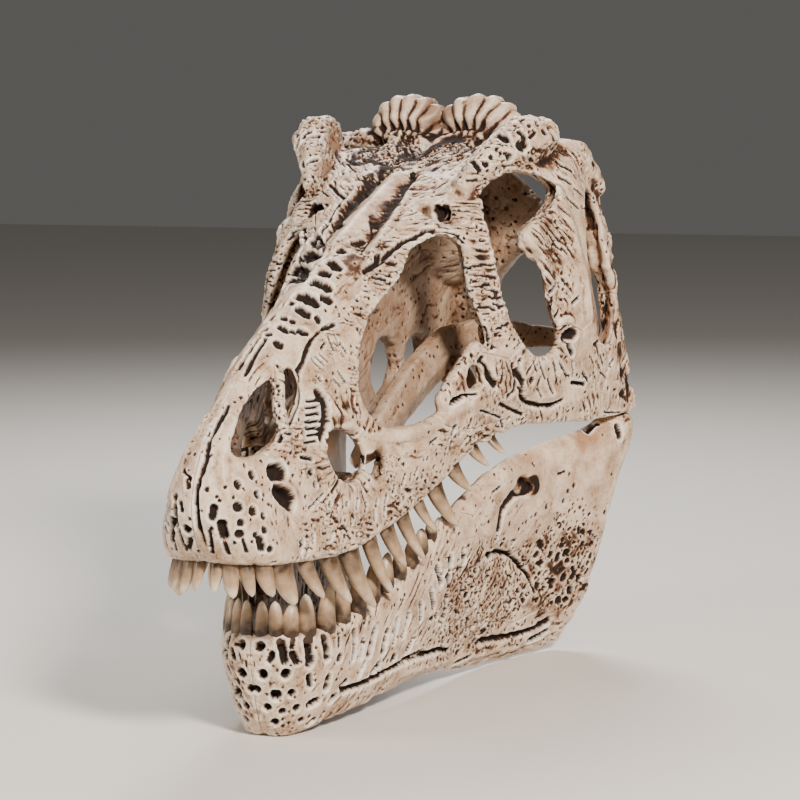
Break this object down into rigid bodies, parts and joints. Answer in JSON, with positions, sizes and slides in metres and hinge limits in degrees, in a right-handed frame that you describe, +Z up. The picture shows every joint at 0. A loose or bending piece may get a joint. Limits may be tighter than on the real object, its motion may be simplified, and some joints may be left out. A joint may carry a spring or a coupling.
{
  "type": "dinosaur skull replica",
  "caption": "Cast replica of a large meat-eating dinosaur's skull, jaws slightly open, standing on its lower jaw as a desk or shelf ornament.",
  "frame": {"origin": "under the middle of the skull, on the level that the lower jaw rests on", "axes": "the snout points to -Y, the skull's left side is +X, +Z is up"},
  "size_m": [0.174, 0.3048, 0.2724],
  "materials": {
    "cast_bone": "bone-white cast resin with a dark brown wash in the recesses, satin",
    "inner_bone": "the same resin, stained brown, satin"
  },
  "bodies": {
    "root": {"nasals": "cast_bone", "skull_roof": "cast_bone", "premaxilla_left": "cast_bone", "premaxilla_right": "cast_bone", "maxilla_left": "cast_bone", "maxilla_right": "cast_bone", "lacrimal_left": "cast_bone", "lacrimal_right": "cast_bone", "postorbital_left": "cast_bone", "postorbital_right": "cast_bone", "squamosal_left": "cast_bone", "squamosal_right": "cast_bone", "jugal_left": "cast_bone", "jugal_right": "cast_bone", "quadratojugal_left": "cast_bone", "quadratojugal_right": "cast_bone", "dentary_left": "cast_bone", "dentary_right": "cast_bone", "surangular_left": "cast_bone", "surangular_right": "cast_bone", "angular_left": "cast_bone", "angular_right": "cast_bone", "braincase": "inner_bone", "palate": "inner_bone", "pterygoid_left": "inner_bone", "pterygoid_right": "inner_bone", "quadrate_left": "inner_bone", "quadrate_right": "inner_bone"}
  },
  "joints": []
}
